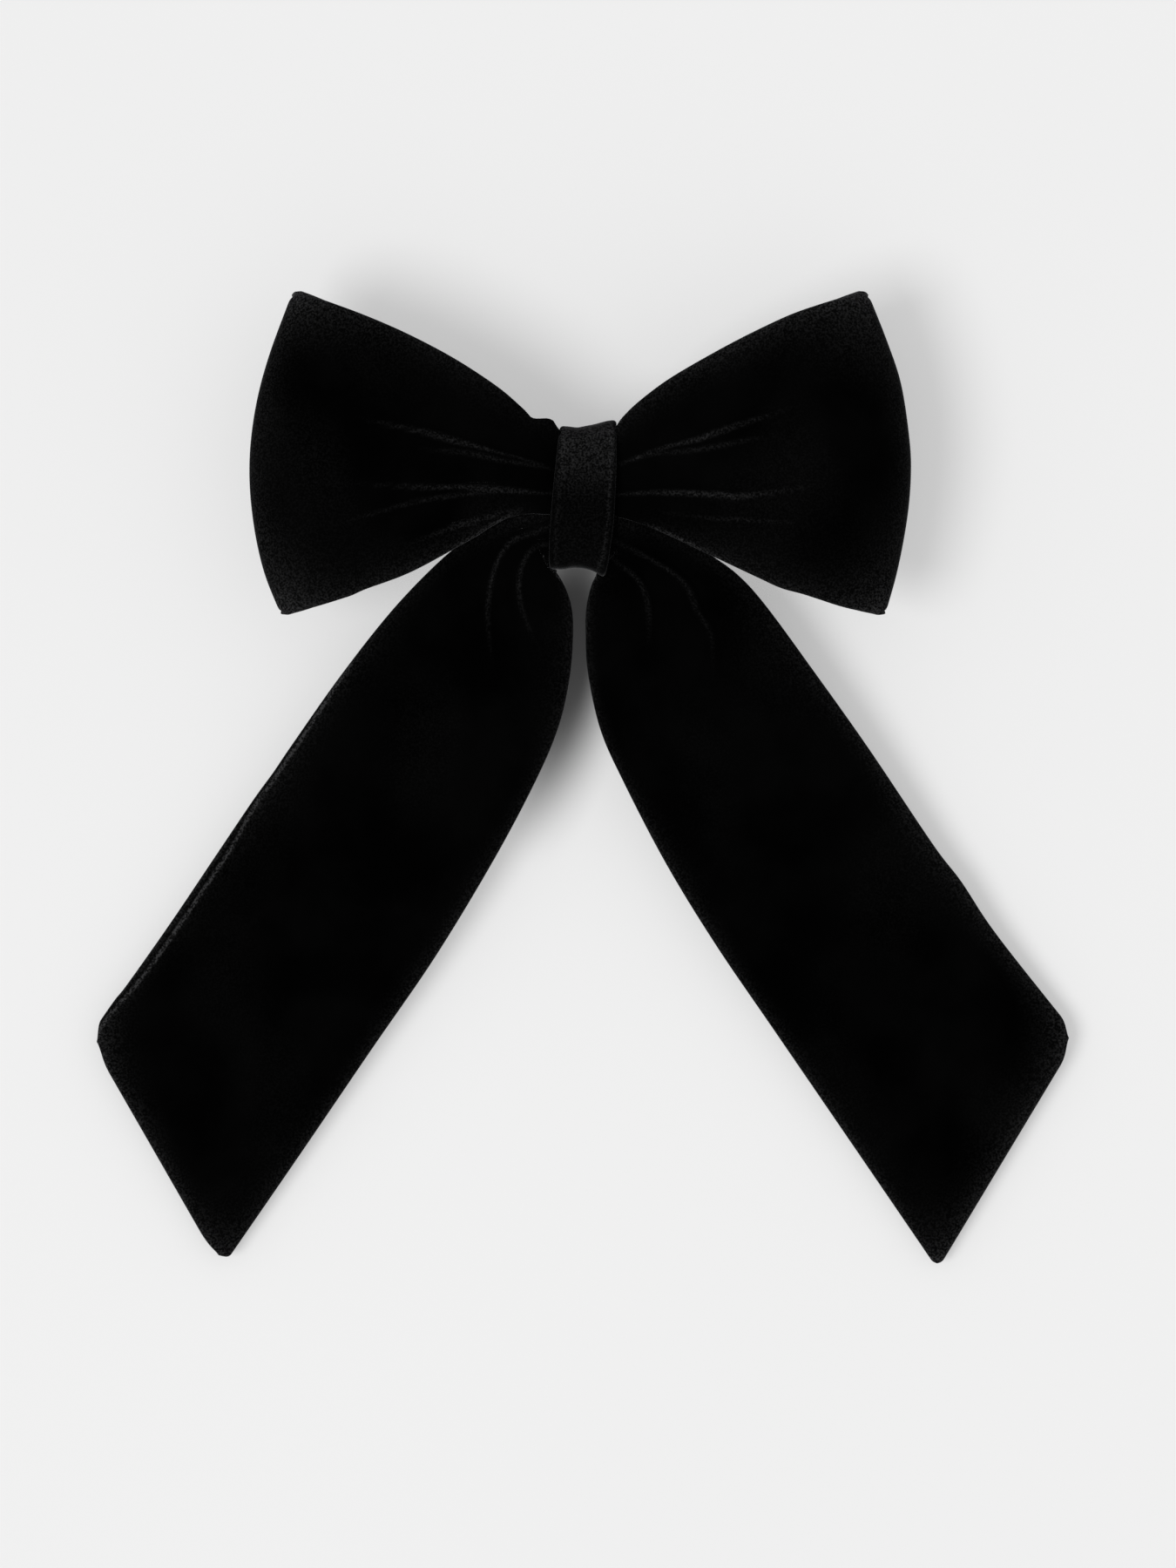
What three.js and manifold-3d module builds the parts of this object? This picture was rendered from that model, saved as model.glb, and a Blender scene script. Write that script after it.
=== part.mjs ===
// A velvet hair bow on a French barrette, in millimetres.
// +Z is up as the bow is worn, -Y is its front and +X is to the right as seen from the front.
// The origin is the middle of the gap that the clip closes on the hair, straight behind the knot.
import * as THREE from "three";
import { mergeVertices } from "three/addons/utils/BufferGeometryUtils.js";
import Module from "manifold-3d";

// Driving dimensions.
const GAP = 0.3; // between pieces that touch on the real bow
const CURVE_STEPS = 3; // outline points per control point of a spline

// Loops: one flat velvet tube, brought round into two loops and gathered in the middle.
const LOOP_REACH = 68.7; // from the middle to the fold of a loop
const LOOP_WALL = 1.8; // two layers of velvet
const LOOP_TOP = 42.8;
const LOOP_BOTTOM = -24.8;
const LOOP_ROWS = 8; // rows of faces up the height of the loops
const PINCH_FRONT_Y = -19.4; // front of the gathered middle
const PINCH_BACK_Y = -13.6; // back of the gathered middle
const PINCH_HALF_HEIGHT = 11.6;
const PINCH_HALF_LENGTH = 2.8; // the stretch inside the knot that is gathered over its full height

// Tails: two flat velvet tubes that come out of the knot and fall back to the hair.
const TAIL_SWING_X = 7.3; // each tail swings about this point, to the side of the knot
const TAIL_SWING_Z = -8.8;
const TAIL_BOSS_RADIUS = 3.8; // its gathered end inside the knot
const TAIL_SLOPE = new THREE.Vector2(-0.5476, -0.8367); // the way the left tail runs, across and up

// Knot band and the thread under it.
const BAND_WIDTH = 12.2;
const BAND_WALL = 1.3;
const BAND_LEAN = THREE.MathUtils.degToRad(4.4); // its top leans to +X
const THREAD_WIDTH = 3;
const THREAD_WALL = 0.5;

// Barrette.
const BAR_HALF_LENGTH = 41;
const BAR_WIDTH = 9;
const BAR_THICKNESS = 0.9;
const BAR_END_Y = -4.2; // middle of the bar's thickness at its flat ends
const BAR_BOW = 3.75; // how far the bar's middle stands forward of its ends
const BAR_ARCH_REACH = 34; // half the length of the arched stretch
const SEWING_HOLE_X = 29.5;
const SEWING_HOLE_RADIUS = 1;
const HINGE_X = -38.7;
const HINGE_Y = 2.9;
const PIN_RADIUS = 0.6;
const PIN_HALF_LENGTH = 5.3;
const EAR_INNER_Z = 3.6;
const EAR_THICKNESS = 0.9;
const EAR_RADIUS = 1.7;
const ARM_FRONT_Y = 3.5; // hair side of the arm's web
const ARM_BACK_Y = 4.4;
const ARM_WIDTH = 6;
const ARM_END_X = 40.6;
const ARM_RIB_HEIGHT = 0.9; // the edges of the arm, folded towards the hair
const ARM_RIB_WIDTH = 0.7;
const KNUCKLE_RADIUS = 1.5;
const SPRING_WIDTH = 5;
const SPRING_THICKNESS = 0.5;
const SPRING_REACH = 33;
const SPRING_END_Y = -3.2;
const SPRING_RISE = 0.45; // the leaf's middle stands this far towards the hair
const LATCH_X = 37.5; // middle of the latch
const LATCH_LENGTH = 6;
const LATCH_THICKNESS = 0.6;
const LATCH_BASE_Y = -3.15; // middle of the latch plate's thickness
const LATCH_BASE_HALF_WIDTH = 3.5;
const WING_Z = 4.2; // middle of a wing where it leaves the plate
const RIVET_RADIUS = 1.1;
const RIVET_HEAD_RADIUS = 1.9;
const RIVET_HEAD_HEIGHT = 0.5;

const VELVET = { color: 0x060607, roughness: 0.95, metalness: 0 };
const THREAD = { color: 0x08080a, roughness: 0.8, metalness: 0 };
const STEEL = { color: 0xb9bcc0, roughness: 0.3, metalness: 1 };
const SPRING_STEEL = { color: 0x9fa3a8, roughness: 0.35, metalness: 1 };

// Edges of the loops as seen from the front, as (x, z) points from the knot outwards.
const LOOP_EDGES = {
  left: {
    top: [[-4.6, 11.9], [-5.8, 13.8], [-10, 15.7], [-20, 23.8], [-32, 31.2], [-46, 38], [-60.2, 42.8]],
    bottom: [[-3.1, -4.4], [-12, -4.6], [-24, -8.9], [-38, -16.2], [-62.6, -24.8]],
    outer: [[-60.2, 42.8], [-65.2, 27], [-68, 14], [-68.7, 4], [-68, -5], [-66.2, -14.4], [-62.6, -24.8]],
  },
  right: {
    top: [[7.4, 12.1], [8.6, 15.4], [12.2, 19.2], [20, 25.4], [32, 32.3], [46, 38.7], [58.6, 42.8]],
    bottom: [[3.1, -4.4], [12, -5.2], [26, -11.6], [40, -17.6], [62.4, -24.6]],
    outer: [[58.6, 42.8], [63, 31], [66.2, 20], [67.6, 7], [67.1, -3.6], [65, -14.4], [62.4, -24.6]],
  },
};

// Outer face of a loop as seen from above, as (distance from the middle, y) points.
const LOOP_FRONT = [[0, PINCH_FRONT_Y], [8, -19.9], [22, -23], [42, -25.2], [58, -23.2], [66.4, -19]];
const LOOP_FOLD = [[68.7, -15.8]];
const LOOP_BACK = [[66, -12.6], [58, -10.4], [45, -9.4], [30, -10.4], [20, -12.1], [8, -13.4], [0, PINCH_BACK_Y]];

// Edges of the tails as seen from the front, as (x, z) points round each tail from the knot.
const TAIL_EDGES = {
  left: {
    inner: [[-8.2, -15.7], [-4.6, -17.8], [-2.5, -25], [-2.4, -34], [-5, -47.4], [-10.2, -58.8],
      [-20.5, -78.2], [-31.5, -95.8], [-45, -115.8], [-60.3, -138.8], [-71.6, -155.4]],
    end: [[-73.8, -157.6], [-76.4, -156.2], [-80.3, -149], [-88.4, -135.2], [-96.8, -121.2]],
    outer: [[-99.5, -115], [-99.3, -109], [-88.4, -93.4], [-72.7, -70.4], [-58.1, -48.8],
      [-44.3, -30], [-33.5, -17.6], [-23.4, -11.9], [-16, -9.1], [-11.2, -6.9]],
  },
  right: {
    inner: [[8.2, -15.7], [3.6, -18.4], [1.3, -25], [1.2, -34], [4.1, -47.4], [9.2, -59],
      [20.9, -81], [31.7, -98.4], [45.4, -118.6], [60.7, -141], [71.4, -157]],
    end: [[72.6, -158.2], [74.6, -156.4], [80, -147.8], [88, -134.6], [97.6, -119.2]],
    outer: [[100.3, -113.2], [98.6, -108], [86.2, -91.4], [71.4, -70.6], [56.6, -48.8],
      [44.6, -32.2], [35, -19.6], [24, -13], [16, -10.2], [11.2, -7.2]],
  },
};

// Faces of a tail from the side, as (distance down the tail from its swing point, y) points.
const TAIL_FRONT = [[-8, -18.5], [0, -18], [5, -15], [10, -11.2], [20, -9], [40, -6], [70, -2.6], [110, 0.4], [160, 2]];
const TAIL_BACK = [[-8, -9.6], [5, -9.2], [10, -7.6], [20, -5.6], [40, -2.8], [70, 0.4], [110, 3], [160, 4.6]];

const wasm = await Module();
wasm.setup();

// ---- general shapes ----

const toVectors = (points) => points.map(([x, y]) => new THREE.Vector2(x, y));

function spline(points) {
  return new THREE.SplineCurve(toVectors(points)).getPoints((points.length - 1) * CURVE_STEPS);
}

function solidOf(geometry) {
  const bare = geometry.clone();
  bare.deleteAttribute("normal");
  bare.deleteAttribute("uv");
  const merged = mergeVertices(bare, 1e-4);
  return new wasm.Manifold(
    new wasm.Mesh({
      numProp: 3,
      vertProperties: merged.attributes.position.array,
      triVerts: new Uint32Array(merged.index.array),
    }),
  );
}

function geometryOf(solid) {
  const mesh = solid.getMesh();
  const geometry = new THREE.BufferGeometry();
  geometry.setAttribute("position", new THREE.BufferAttribute(mesh.vertProperties, 3));
  geometry.setIndex(new THREE.BufferAttribute(mesh.triVerts, 1));
  const flat = geometry.toNonIndexed();
  flat.computeVertexNormals();
  return flat;
}

function extrude(shape, depth, steps = 1) {
  return new THREE.ExtrudeGeometry(shape, { depth, steps, bevelEnabled: false, curveSegments: 12 });
}

// A shape drawn in X and Z, filled from y0 back to y1.
function alongY(shape, y0, y1) {
  return extrude(shape, y1 - y0).rotateX(Math.PI / 2).translate(0, y1, 0);
}

// A shape drawn in Y and Z, filled from x0 to x1.
function alongX(shape, x0, x1) {
  const turn = new THREE.Matrix4().makeBasis(
    new THREE.Vector3(0, 1, 0),
    new THREE.Vector3(0, 0, 1),
    new THREE.Vector3(1, 0, 0),
  );
  return extrude(shape, x1 - x0).applyMatrix4(turn).translate(x0, 0, 0);
}

// A shape drawn in X and Y, filled from z0 up to z1.
function alongZ(shape, z0, z1) {
  return extrude(shape, z1 - z0).translate(0, 0, z0);
}

function box(x0, x1, y0, y1, z0, z1) {
  return new THREE.BoxGeometry(x1 - x0, y1 - y0, z1 - z0)
    .translate((x0 + x1) / 2, (y0 + y1) / 2, (z0 + z1) / 2);
}

function circleShape(x, y, radius) {
  return new THREE.Shape().absarc(x, y, radius, 0, 2 * Math.PI, false);
}

function piece(name, geometry, finish) {
  const mesh = new THREE.Mesh(geometry, new THREE.MeshStandardMaterial(finish));
  mesh.name = name;
  return mesh;
}

// The value at x of a line through (x, value) points, straight between them.
function valueAt(points, x) {
  const sorted = [...points].sort((a, b) => a.x - b.x);
  const next = sorted.findIndex((p) => p.x >= x);
  if (next === 0) return sorted[0].y;
  if (next < 0) return sorted[sorted.length - 1].y;
  const [a, b] = [sorted[next - 1], sorted[next]];
  return a.y + ((b.y - a.y) * (x - a.x)) / (b.x - a.x);
}

// ---- loops ----

// Both loops from above: the outline of the ribbon's outside, with the inside of each loop cut out.
function loopRing() {
  const half = spline([...LOOP_FRONT, ...LOOP_FOLD, ...LOOP_BACK]);
  const mirrored = half.slice(1, -1).reverse().map((p) => new THREE.Vector2(-p.x, p.y));
  const ring = new THREE.Shape([...half, ...mirrored]);
  const pocket = half.filter((p) => p.x > 13).map((p, i, all) => {
    const before = all[Math.max(i - 1, 0)];
    const after = all[Math.min(i + 1, all.length - 1)];
    const way = after.clone().sub(before).normalize();
    return new THREE.Vector2(p.x - way.y * LOOP_WALL, p.y + way.x * LOOP_WALL);
  });
  ring.holes.push(new THREE.Path(pocket));
  ring.holes.push(new THREE.Path(pocket.map((p) => new THREE.Vector2(-p.x, p.y))));
  return ring;
}

// Both loops from the front, left open past the folds so that the ring's own folds stay whole.
function loopOutline() {
  const past = LOOP_REACH + 5;
  const edge = (side, name) => spline(LOOP_EDGES[side][name]);
  const beyond = (points, sign) => {
    const [before, last] = points.slice(-2);
    const slope = (last.y - before.y) / (last.x - before.x);
    return new THREE.Vector2(sign * past, last.y + slope * (sign * past - last.x));
  };
  const [bottomRight, topRight] = [edge("right", "bottom"), edge("right", "top")];
  const [bottomLeft, topLeft] = [edge("left", "bottom"), edge("left", "top")];
  return new THREE.Shape([
    ...toVectors([[-PINCH_HALF_LENGTH, -PINCH_HALF_HEIGHT], [PINCH_HALF_LENGTH, -PINCH_HALF_HEIGHT]]),
    ...bottomRight,
    beyond(bottomRight, 1),
    beyond(topRight, 1),
    ...topRight.reverse(),
    ...toVectors([[PINCH_HALF_LENGTH, PINCH_HALF_HEIGHT], [-PINCH_HALF_LENGTH, PINCH_HALF_HEIGHT]]),
    ...topLeft,
    beyond(topLeft, -1),
    beyond(bottomLeft, -1),
    ...bottomLeft.reverse(),
  ]);
}

// The ring reaches out at each height to the fold that the loop shows from the front.
function loopRibbon() {
  const fold = (side) => spline(LOOP_EDGES[side].outer).map((p) => new THREE.Vector2(p.y, Math.abs(p.x)));
  const folds = { left: fold("left"), right: fold("right") };
  const ring = extrude(loopRing(), LOOP_TOP - LOOP_BOTTOM, LOOP_ROWS).translate(0, 0, LOOP_BOTTOM);
  const place = ring.attributes.position;
  for (let i = 0; i < place.count; i++) {
    const side = place.getX(i) < 0 ? "left" : "right";
    const share = Math.abs(place.getX(i)) / LOOP_REACH;
    const shortfall = LOOP_REACH - valueAt(folds[side], place.getZ(i));
    place.setX(i, place.getX(i) - Math.sign(place.getX(i)) * shortfall * share);
  }
  const outline = solidOf(alongY(loopOutline(), -40, 0));
  return piece("loop_ribbon", geometryOf(solidOf(ring).intersect(outline)), VELVET);
}

// ---- tails ----

function tailOutline(side) {
  const { inner, end, outer } = TAIL_EDGES[side];
  const sign = side === "left" ? -1 : 1;
  const bossAngle = (degrees) => {
    const angle = THREE.MathUtils.degToRad(degrees);
    const reach = TAIL_BOSS_RADIUS;
    return new THREE.Vector2(
      sign * (TAIL_SWING_X - reach * Math.cos(angle)),
      TAIL_SWING_Z + reach * Math.sin(angle),
    );
  };
  const boss = [140, 110, 80, 50, 20, -10, -40, -70, -97].map(bossAngle);
  return new THREE.Shape([...boss, ...spline([...inner, ...end, ...outer])]);
}

// The outline from the front, cut to the faces that the tail shows from its side.
function tail(side) {
  const sign = side === "left" ? 1 : -1;
  const flat = alongY(tailOutline(side), -30, 20);
  const faces = new THREE.Shape([...spline(TAIL_FRONT), ...spline(TAIL_BACK).reverse()]);
  const down = new THREE.Vector3(TAIL_SLOPE.x * sign, 0, TAIL_SLOPE.y);
  const back = new THREE.Vector3(0, 1, 0);
  const across = new THREE.Vector3().crossVectors(down, back);
  const fall = extrude(faces, 200)
    .translate(0, 0, -100)
    .applyMatrix4(new THREE.Matrix4().makeBasis(down, back, across))
    .translate(-TAIL_SWING_X * sign, 0, TAIL_SWING_Z);
  return piece(side + "_tail", geometryOf(solidOf(flat).intersect(solidOf(fall))), VELVET);
}

// ---- knot ----

// A closed ring round the gathers, drawn in Y and Z: wide in front, narrow where it holds the bar.
function wrapShape(inset) {
  const front = -22.6 + inset;
  const back = -5.5 - inset;
  const half = 14.9 - inset;
  const hold = 7.4 - inset;
  const shape = new THREE.Shape();
  shape.moveTo(front, 0);
  shape.bezierCurveTo(front, -half * 0.86, front + 0.4, -half, front + 3, -half);
  shape.lineTo(front + 9.4, -half);
  shape.bezierCurveTo(front + 13, -half, back, -half * 0.9, back, -hold);
  shape.lineTo(back, hold);
  shape.bezierCurveTo(back, half * 0.9, front + 13, half, front + 9.4, half);
  shape.lineTo(front + 3, half);
  shape.bezierCurveTo(front + 0.4, half, front, half * 0.86, front, 0);
  return shape;
}

function knotBand() {
  const shape = wrapShape(0);
  shape.holes.push(wrapShape(BAND_WALL));
  const band = piece("knot_band", alongX(shape, -BAND_WIDTH / 2, BAND_WIDTH / 2), VELVET);
  band.rotation.y = BAND_LEAN;
  return band;
}

// The thread is wound round the pinched middle of the loops, inside the band.
function gatherThread() {
  const round = (grow) => {
    const y0 = PINCH_FRONT_Y - grow;
    const y1 = PINCH_BACK_Y + grow;
    const half = PINCH_HALF_HEIGHT + grow;
    const corner = 1.6 * grow;
    const shape = new THREE.Shape();
    shape.moveTo(y0, -half + corner);
    shape.quadraticCurveTo(y0, -half, y0 + corner, -half);
    shape.lineTo(y1 - corner, -half);
    shape.quadraticCurveTo(y1, -half, y1, -half + corner);
    shape.lineTo(y1, half - corner);
    shape.quadraticCurveTo(y1, half, y1 - corner, half);
    shape.lineTo(y0 + corner, half);
    shape.quadraticCurveTo(y0, half, y0, half - corner);
    return shape;
  };
  const shape = round(GAP + THREAD_WALL);
  shape.holes.push(round(GAP));
  return piece("gather_thread", alongX(shape, -THREAD_WIDTH / 2, THREAD_WIDTH / 2), THREAD);
}

// ---- barrette ----

// Middle line of the bar from above: arched forward in the middle, flat at both ends.
function barMiddle(x) {
  if (Math.abs(x) >= BAR_ARCH_REACH) return BAR_END_Y;
  return BAR_END_Y - BAR_BOW * 0.5 * (1 + Math.cos((Math.PI * x) / BAR_ARCH_REACH));
}

// A strip seen from above, of one thickness on both sides of its middle line.
function stripShape(middle, x0, x1, thickness, steps) {
  const xs = Array.from({ length: steps + 1 }, (_, i) => x0 + ((x1 - x0) * i) / steps);
  const front = xs.map((x) => new THREE.Vector2(x, middle(x) - thickness / 2));
  const back = xs.map((x) => new THREE.Vector2(x, middle(x) + thickness / 2));
  return new THREE.Shape([...front, ...back.reverse()]);
}

// A hinge ear from the side: it rises from the bar's end and is round about the pin.
function earShape() {
  const foot = BAR_END_Y - BAR_THICKNESS / 2;
  const shape = new THREE.Shape();
  shape.moveTo(-BAR_HALF_LENGTH, foot);
  shape.lineTo(-34.6, foot);
  shape.lineTo(-34.6, BAR_END_Y + 1.2);
  shape.lineTo(HINGE_X + EAR_RADIUS, HINGE_Y);
  shape.absarc(HINGE_X, HINGE_Y, EAR_RADIUS, 0, Math.PI, false);
  shape.lineTo(-BAR_HALF_LENGTH, BAR_END_Y + 1.2);
  shape.holes.push(circleShape(HINGE_X, HINGE_Y, PIN_RADIUS + GAP));
  return shape;
}

function clipBaseBar() {
  const half = BAR_WIDTH / 2;
  const strip = stripShape(barMiddle, -BAR_HALF_LENGTH, BAR_HALF_LENGTH, BAR_THICKNESS, 32);
  let bar = solidOf(alongZ(strip, -half, half));
  for (const sign of [-1, 1]) {
    const inner = sign * EAR_INNER_Z;
    const outer = sign * (EAR_INNER_Z + EAR_THICKNESS);
    bar = bar.add(solidOf(alongZ(earShape(), Math.min(inner, outer), Math.max(inner, outer))));
    bar = bar.subtract(solidOf(alongY(circleShape(sign * SEWING_HOLE_X, 0, SEWING_HOLE_RADIUS), -9, -2)));
  }
  bar = bar.subtract(solidOf(alongY(circleShape(LATCH_X, 0, RIVET_RADIUS + GAP), -9, -2)));
  return piece("clip_base_bar", geometryOf(bar), STEEL);
}

function clipHingePin() {
  const half = PIN_HALF_LENGTH;
  const headRadius = PIN_RADIUS + 0.5;
  const profile = toVectors([
    [0, -half - 0.4], [headRadius, -half - 0.4], [headRadius, -half + 0.4], [PIN_RADIUS, -half + 0.4],
    [PIN_RADIUS, half - 0.4], [headRadius, half - 0.4], [headRadius, half + 0.4], [0, half + 0.4],
  ]);
  const pin = piece("clip_hinge_pin", new THREE.LatheGeometry(profile, 16), STEEL);
  pin.rotation.x = Math.PI / 2;
  pin.position.set(HINGE_X, HINGE_Y, 0);
  return pin;
}

// The arm is straight, so its back lies flat; its edges are folded forward and its tip is narrow.
function clipSwingArm() {
  const half = ARM_WIDTH / 2;
  const start = HINGE_X + KNUCKLE_RADIUS + 0.4;
  const plan = new THREE.Shape(toVectors([
    [HINGE_X, -half], [33, -half], [35.2, -2.3], [38.8, -2.3], [ARM_END_X, -0.9],
    [ARM_END_X, 0.9], [38.8, 2.3], [35.2, 2.3], [33, half], [HINGE_X, half],
  ]));
  let arm = solidOf(alongY(plan, ARM_FRONT_Y, ARM_BACK_Y));
  for (const sign of [-1, 1]) {
    const [z0, z1] = [sign * half, sign * (half - ARM_RIB_WIDTH)].sort((a, b) => a - b);
    const rib = box(start, 33, ARM_FRONT_Y - ARM_RIB_HEIGHT, ARM_FRONT_Y + 0.2, z0, z1);
    arm = arm.add(solidOf(rib));
  }
  arm = arm.add(solidOf(alongZ(circleShape(HINGE_X, HINGE_Y, KNUCKLE_RADIUS), -half, half)));
  arm = arm.subtract(solidOf(alongZ(circleShape(HINGE_X, HINGE_Y, PIN_RADIUS + GAP), -half - 1, half + 1)));
  const trim = box(HINGE_X - 4, HINGE_X + 4, ARM_BACK_Y, ARM_BACK_Y + 3, -half - 1, half + 1);
  return piece("clip_swing_arm", geometryOf(arm.subtract(solidOf(trim))), STEEL);
}

function clipTensionSpring() {
  const middle = (x) => SPRING_END_Y + SPRING_RISE * Math.cos((Math.PI * x) / (2 * SPRING_REACH));
  const leaf = stripShape(middle, -SPRING_REACH, SPRING_REACH, SPRING_THICKNESS, 16);
  return piece("clip_tension_spring", alongZ(leaf, -SPRING_WIDTH / 2, SPRING_WIDTH / 2), SPRING_STEEL);
}

function clipLatchBase() {
  const [x0, x1] = [LATCH_X - LATCH_LENGTH / 2, LATCH_X + LATCH_LENGTH / 2];
  const [y0, y1] = [LATCH_BASE_Y - LATCH_THICKNESS / 2, LATCH_BASE_Y + LATCH_THICKNESS / 2];
  const plate = solidOf(box(x0, x1, y0, y1, -LATCH_BASE_HALF_WIDTH, LATCH_BASE_HALF_WIDTH));
  const hole = solidOf(alongY(circleShape(LATCH_X, 0, RIVET_RADIUS + GAP), y0 - 1, y1 + 1));
  return piece("clip_latch_base", geometryOf(plate.subtract(hole)), SPRING_STEEL);
}

// A wing rises from the latch plate beside the arm's tip, then flares out into a finger tab.
function clipLatchWing(name, sign) {
  const line = toVectors([
    [LATCH_BASE_Y, WING_Z], [-1, WING_Z + 0.1], [1.4, WING_Z - 0.3], [2.8, WING_Z - 0.6], [3.6, WING_Z + 0.6],
    [4.2, WING_Z + 2.4],
  ]);
  const shift = LATCH_THICKNESS / 2;
  const side = (way) => line.map((p, i) => {
    const run = line[Math.min(i + 1, line.length - 1)].clone().sub(line[Math.max(i - 1, 0)]).normalize();
    return new THREE.Vector2(p.x - way * run.y * shift, (p.y + way * run.x * shift) * sign);
  });
  const around = [...side(-1), ...side(1).reverse()];
  const shape = new THREE.Shape(sign > 0 ? around : around.reverse());
  const [x0, x1] = [LATCH_X - LATCH_LENGTH / 2, LATCH_X + LATCH_LENGTH / 2];
  return piece(name, alongX(shape, x0, x1), SPRING_STEEL);
}

function clipLatchRivet() {
  const front = BAR_END_Y - BAR_THICKNESS / 2 - GAP;
  const back = LATCH_BASE_Y + LATCH_THICKNESS / 2 + GAP;
  const profile = toVectors([
    [0, front - RIVET_HEAD_HEIGHT], [RIVET_HEAD_RADIUS * 0.6, front - RIVET_HEAD_HEIGHT],
    [RIVET_HEAD_RADIUS, front - 0.1], [RIVET_HEAD_RADIUS, front], [RIVET_RADIUS, front],
    [RIVET_RADIUS, back], [RIVET_HEAD_RADIUS, back], [RIVET_HEAD_RADIUS, back + 0.1],
    [RIVET_HEAD_RADIUS * 0.6, back + RIVET_HEAD_HEIGHT], [0, back + RIVET_HEAD_HEIGHT],
  ]);
  const rivet = piece("clip_latch_rivet", new THREE.LatheGeometry(profile, 18), STEEL);
  rivet.position.x = LATCH_X;
  return rivet;
}

const bow = new THREE.Group();
bow.add(loopRibbon(), tail("left"), tail("right"), knotBand(), gatherThread());

const clip = new THREE.Group();
clip.add(
  clipBaseBar(),
  clipHingePin(),
  clipSwingArm(),
  clipTensionSpring(),
  clipLatchBase(),
  clipLatchWing("clip_latch_upper_wing", 1),
  clipLatchWing("clip_latch_lower_wing", -1),
  clipLatchRivet(),
);

const hairBow = new THREE.Group();
hairBow.add(bow, clip);

export default hairBow;
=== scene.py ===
# A black velvet hair bow on a French barrette.
# Shapes are worked out in millimetres and made in metres. +Z is up and -Y is the bow's front.
import math

import bmesh
import bpy
import numpy as np
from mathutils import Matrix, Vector


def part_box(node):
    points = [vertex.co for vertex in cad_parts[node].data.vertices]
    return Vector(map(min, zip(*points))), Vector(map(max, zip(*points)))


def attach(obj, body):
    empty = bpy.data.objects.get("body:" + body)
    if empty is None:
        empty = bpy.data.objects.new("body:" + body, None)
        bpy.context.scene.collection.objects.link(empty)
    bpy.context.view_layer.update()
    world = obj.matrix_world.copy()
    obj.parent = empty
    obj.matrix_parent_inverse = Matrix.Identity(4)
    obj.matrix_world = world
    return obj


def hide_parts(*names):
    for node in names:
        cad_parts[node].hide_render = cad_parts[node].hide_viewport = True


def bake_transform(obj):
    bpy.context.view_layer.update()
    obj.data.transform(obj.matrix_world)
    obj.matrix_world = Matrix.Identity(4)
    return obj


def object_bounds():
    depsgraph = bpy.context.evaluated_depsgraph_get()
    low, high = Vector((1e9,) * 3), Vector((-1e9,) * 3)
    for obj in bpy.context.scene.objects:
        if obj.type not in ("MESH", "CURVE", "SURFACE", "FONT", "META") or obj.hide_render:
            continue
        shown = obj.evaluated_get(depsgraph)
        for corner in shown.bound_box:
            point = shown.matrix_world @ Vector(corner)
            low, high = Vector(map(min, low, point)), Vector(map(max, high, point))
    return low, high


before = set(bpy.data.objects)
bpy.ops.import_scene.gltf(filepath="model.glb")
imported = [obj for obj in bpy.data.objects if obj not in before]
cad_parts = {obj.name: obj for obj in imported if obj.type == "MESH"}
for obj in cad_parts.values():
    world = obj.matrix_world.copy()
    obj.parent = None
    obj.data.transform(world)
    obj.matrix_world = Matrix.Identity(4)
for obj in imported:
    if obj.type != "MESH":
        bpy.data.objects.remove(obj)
cad_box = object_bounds()

MM = 0.001

# ---- driving dimensions, in millimetres ----

VELVET_HALF = 1.2  # half the thickness of a flat velvet tube
RIM = 2.2  # how far in from its edge a tube reaches its full thickness
WELD = 1e-7  # in metres: points closer than this are one point

CREASE_FADE = 0.55  # share of a crease's length over which it fades out
# The painted highlight along a crease's crest: how far off the line it lies, its width and its brightness.
CREST_OFFSET, CREST_WIDTH, CREST_PAINTED_SHEEN = 0.1, 0.27, 0.45
TAIL_CREST_SHARE = 0.62  # the painted highlight on the tails' pleats is weaker than on the loops' creases

# Painted sheen that lightens the velvet near its edges, as (brightness, reach) pairs from the edge that each
# is named after.
LOOP_RIM_PAINTED_SHEEN = [(0.25, 0.7), (0.2, 3)]
LOOP_FOLD_PAINTED_SHEEN = [(0.22, 1.8), (0.03, 6)]
LOOP_CORNER_PAINTED_SHEEN = [(0.35, 7)]
LOOP_TOP_PAINTED_SHEEN = [(0.25, 2.0)]
TAIL_SIDE_PAINTED_SHEEN = [(0.3, 0.7)]
TAIL_INNER_PAINTED_SHEEN = [(0.16, 1.8)]
TAIL_OUTER_PAINTED_SHEEN = [(0.26, 2.2)]
TAIL_END_PAINTED_SHEEN = [(0.35, 0.8), (0.25, 2.6)]
TAIL_CORNER_PAINTED_SHEEN = [(0.3, 5)]
TAIL_TIP_PAINTED_SHEEN = [(0.2, 5)]

# Loops: one flat tube, brought round into two loops and gathered in the middle.
LOOP_REACH = 67.8  # from the bow's middle to a fold, before the outlines below stretch it
LOOP_FOLD_Y = -15.8
LOOP_ROUND, LOOP_ACROSS = 204, 122  # grid points round one loop, and across the tube
LOOP_CORNER, LOWER_CORNER_SHARE = 1.2, 0.4  # radius of the loops' corners, and what the lower ones keep of it
BACK_GATHERS, BACK_GATHER_DEPTH = 4, 0.7  # waves over the height of the cloth behind, beside the knot
# The middle of the tube from above, as (distance from the bow's middle, y) points.
LOOP_FRONT = [(0, -18.2), (8, -18.8), (22, -21.9), (42, -24.0), (58, -22.3), (65.4, -19.0)]
LOOP_BACK = [(65.4, -13.2), (58, -11.5), (45, -10.6), (30, -11.6), (20, -13.1), (8, -14.5), (0, -14.8)]
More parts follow.
